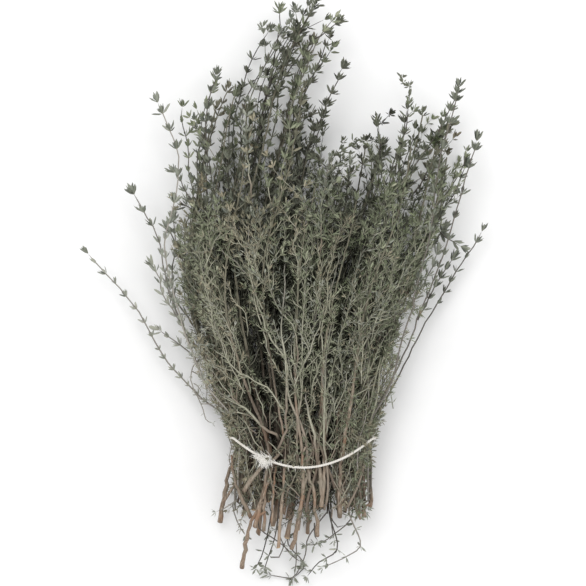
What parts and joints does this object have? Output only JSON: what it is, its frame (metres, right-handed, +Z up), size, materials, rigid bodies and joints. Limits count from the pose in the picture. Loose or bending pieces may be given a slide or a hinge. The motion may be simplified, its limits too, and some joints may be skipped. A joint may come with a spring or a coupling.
{
  "type": "thyme bundle",
  "caption": "Bunch of dried thyme sprigs, fanned out above one turn of thin white string with a frayed knot, lying on its side.",
  "frame": {"origin": "bottom centre of the bundle's box as it lies on a surface", "axes": "+Y along the bundle towards the tips, +Z up off the surface, +X across the bundle"},
  "size_m": [0.2056, 0.3006, 0.0617],
  "materials": {
    "woody_stem": "matt",
    "green_twig": "matt",
    "leaf": "matt",
    "string": "matt"
  },
  "bodies": {
    "root": {"sprig_01": "woody_stem", "sprig_02": "woody_stem", "sprig_03": "woody_stem", "sprig_04": "woody_stem", "sprig_05": "woody_stem", "sprig_06": "woody_stem", "sprig_07": "woody_stem", "sprig_08": "woody_stem", "sprig_09": "woody_stem", "sprig_10": "woody_stem", "sprig_11": "woody_stem", "sprig_12": "woody_stem", "sprig_13": "woody_stem", "sprig_14": "woody_stem", "sprig_15": "woody_stem", "sprig_16": "woody_stem", "sprig_17": "woody_stem", "sprig_18": "woody_stem", "sprig_19": "woody_stem", "sprig_20": "woody_stem", "sprig_21": "woody_stem", "sprig_22": "woody_stem", "sprig_23": "woody_stem", "sprig_24": "woody_stem", "sprig_25": "woody_stem", "sprig_26": "woody_stem", "sprig_27": "woody_stem", "sprig_28": "woody_stem", "sprig_29": "woody_stem", "sprig_30": "woody_stem", "sprig_31": "woody_stem", "sprig_32": "woody_stem", "sprig_33": "woody_stem", "sprig_34": "woody_stem", "sprig_35": "woody_stem", "sprig_36": "woody_stem", "sprig_37": "woody_stem", "sprig_38": "woody_stem", "sprig_39": "woody_stem", "sprig_40": "woody_stem", "sprig_41": "woody_stem", "stray_left_low": "green_twig", "stray_left_middle": "green_twig", "stray_left_high": "green_twig", "stray_right_low": "green_twig", "stray_right_middle": "green_twig", "stray_right_high": "green_twig", "loose_twig_1": "green_twig", "loose_twig_2": "green_twig", "loose_twig_3": "green_twig", "loose_twig_4": "green_twig", "tie_string": "string"}
  },
  "joints": []
}
